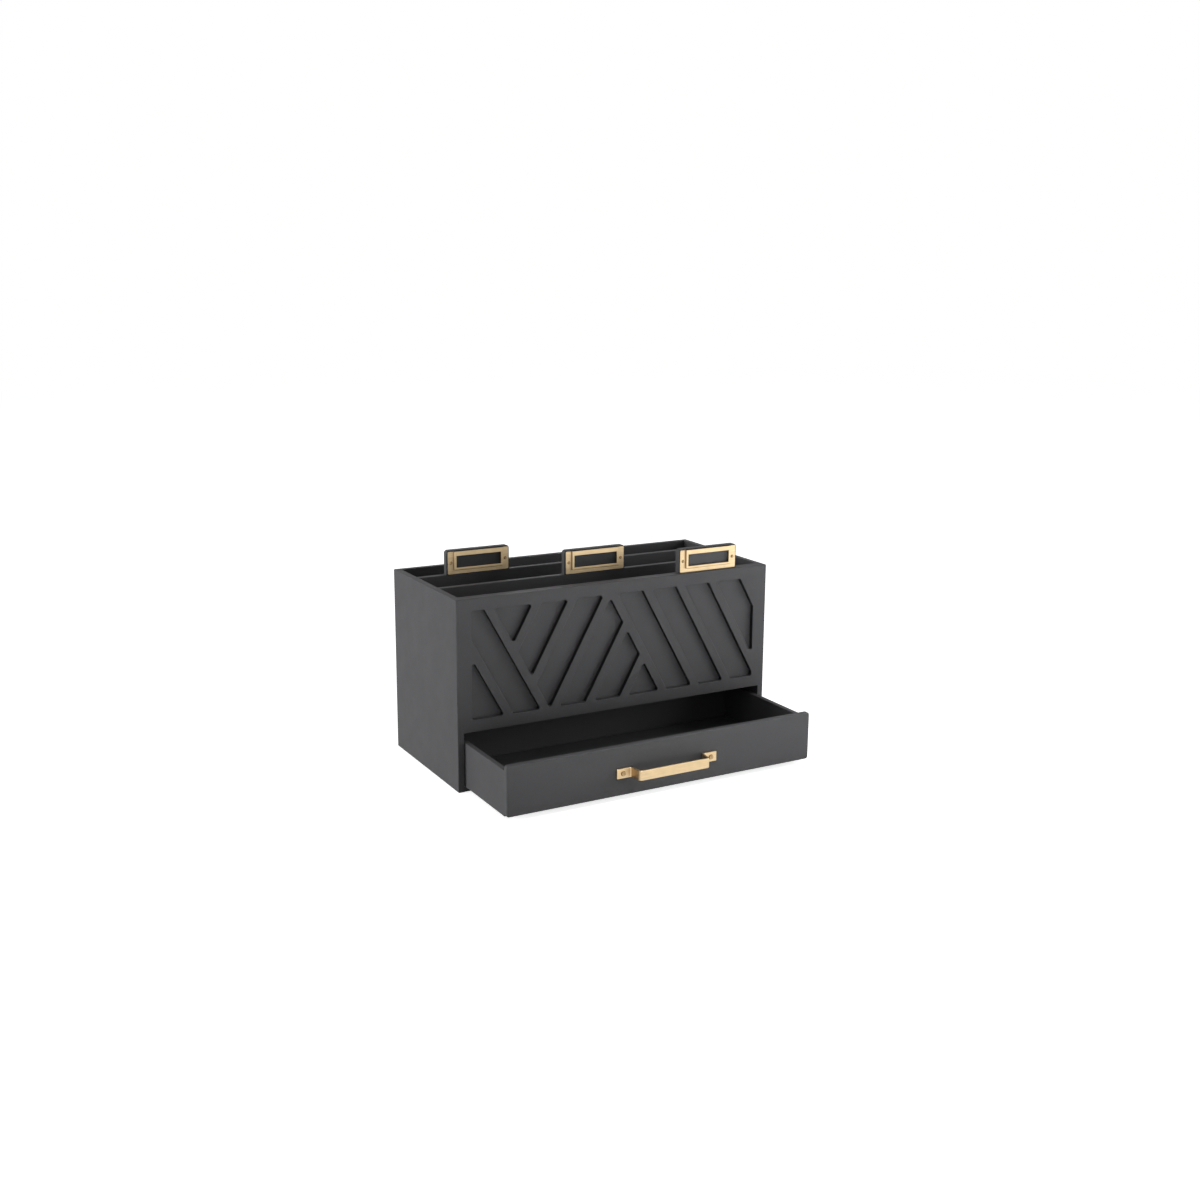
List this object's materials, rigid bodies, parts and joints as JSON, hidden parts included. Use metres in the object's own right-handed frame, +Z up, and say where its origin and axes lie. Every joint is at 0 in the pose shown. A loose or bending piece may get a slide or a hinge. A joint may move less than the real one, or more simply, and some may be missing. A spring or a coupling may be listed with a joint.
{
  "type": "desk sorter",
  "caption": "Desk sorter of painted boards: standing envelope compartments, a slatted front, metal label frames on tabs, and a sliding drawer with a bent-bar pull.",
  "frame": {"origin": "middle of the case's underside, on the desk", "axes": "+X to the right along the front, +Y from the front to the back, +Z up"},
  "size_m": [0.33, 0.248, 0.2002],
  "materials": {
    "painted_board": "matt charcoal paint",
    "gilt_metal": "brushed pale gold"
  },
  "bodies": {
    "case": {"base_panel": "painted_board", "left_side": "painted_board", "right_side": "painted_board", "back_panel": "painted_board", "compartment_floor": "painted_board", "front_panel": "painted_board", "front_lattice": "painted_board", "front_divider": "painted_board", "rear_divider": "painted_board", "label_frame_front": "gilt_metal", "label_frame_middle": "gilt_metal", "label_frame_rear": "gilt_metal", "label_frame_screws": "gilt_metal"},
    "drawer": {"drawer_front": "painted_board", "drawer_left_side": "painted_board", "drawer_right_side": "painted_board", "drawer_back": "painted_board", "drawer_bottom": "painted_board", "handle": "gilt_metal", "handle_screws": "gilt_metal"}
  },
  "joints": [
    {"name": "drawer_slide", "type": "slide", "parent": "case", "child": "drawer", "axis": [0, -1, 0], "range_m": [-0.086, 0.03]}
  ]
}
